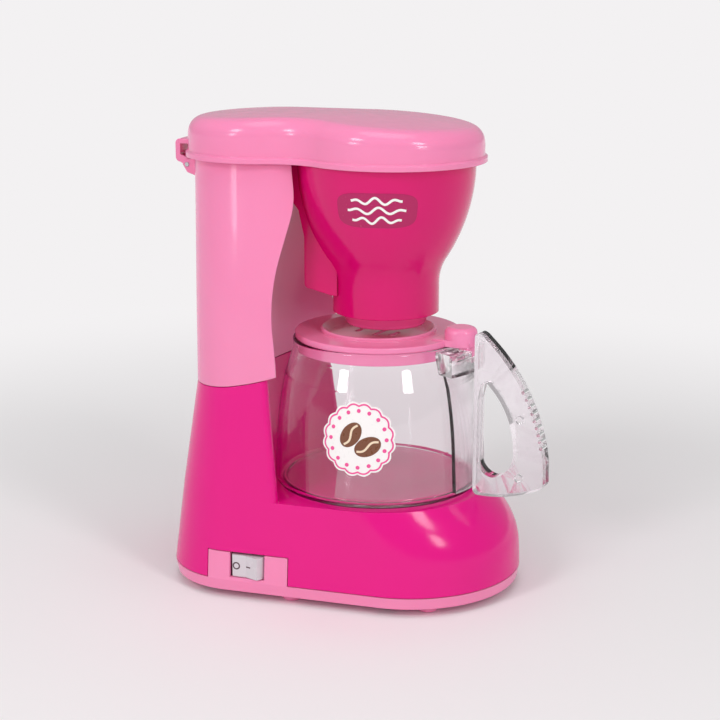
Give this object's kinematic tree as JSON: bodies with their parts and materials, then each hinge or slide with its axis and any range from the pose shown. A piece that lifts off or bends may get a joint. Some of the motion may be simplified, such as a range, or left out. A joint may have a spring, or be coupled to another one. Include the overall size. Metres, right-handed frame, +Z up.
{
  "type": "toy coffee maker",
  "caption": "Toy drip coffee maker: a pumped water tank with a hinged lid feeds a hopper over a clear jug that slides out of a round bay, with a rocker switch on the base.",
  "frame": {"origin": "middle of the overall box, on the table under the feet", "axes": "+Z up, -Y to the front where the jug comes out, -X the side with the switch"},
  "size_m": [0.0894, 0.1512, 0.1824],
  "materials": {
    "hot_pink_plastic": "moulded gloss",
    "pale_pink_plastic": "moulded gloss",
    "mid_pink_plastic": "moulded gloss",
    "white_plastic": "moulded satin",
    "clear_plastic": "clear polished",
    "clear_tube": "clear soft tube",
    "plated_steel": "zinc plated",
    "cell_jacket": "plain dark and copper jacket",
    "motor_can": "drawn steel"
  },
  "bodies": {
    "machine": {"base_shell": "hot_pink_plastic", "base_plate": "pale_pink_plastic", "foot_pads": "pale_pink_plastic", "battery_door": "pale_pink_plastic", "battery_door_screw": "plated_steel", "plate_screws": "plated_steel", "battery_left": "cell_jacket", "battery_right": "cell_jacket", "contact_plates": "plated_steel", "switch_housing": "white_plastic", "water_tank": "pale_pink_plastic", "hinge_pin": "plated_steel", "brew_hopper": "hot_pink_plastic", "hopper_screws": "plated_steel", "drip_nozzle": "mid_pink_plastic", "pump_motor": "motor_can", "pump_housing": "white_plastic", "suction_tube": "clear_tube", "delivery_tube": "clear_tube"},
    "lid": {"top_lid": "pale_pink_plastic"},
    "rocker": {"switch_rocker": "white_plastic"},
    "jug": {"jug_body": "clear_plastic", "handle_saddle": "clear_plastic", "handle_half_near": "clear_plastic", "handle_half_far": "clear_plastic", "jug_lid_pin": "plated_steel"},
    "jug_cover": {"jug_lid": "pale_pink_plastic"},
    "pump_wheel": {"impeller": "white_plastic"}
  },
  "joints": [
    {"name": "lid_hinge", "type": "hinge", "parent": "machine", "child": "lid", "pos_m": [0, 0.07, 0.1615], "axis": [-1, 0, 0], "range_deg": [0, 95]},
    {"name": "rocker_pivot", "type": "hinge", "parent": "machine", "child": "rocker", "pos_m": [-0.04004, 0.0341, 0.0135], "axis": [0, 0, 1], "range_deg": [0, 20]},
    {"name": "jug_slide", "type": "slide", "parent": "machine", "child": "jug", "axis": [0, -1, 0], "range_m": [0, 0.14]},
    {"name": "jug_lid_hinge", "type": "hinge", "parent": "jug", "child": "jug_cover", "pos_m": [-0.00802, -0.04276, 0.0948], "axis": [0.9781, -0.2079, 0], "range_deg": [0, 3]},
    {"name": "impeller_spin", "type": "hinge", "parent": "machine", "child": "pump_wheel", "pos_m": [0.014, 0.053, 0.035], "axis": [0, 0, 1], "continuous": true}
  ]
}
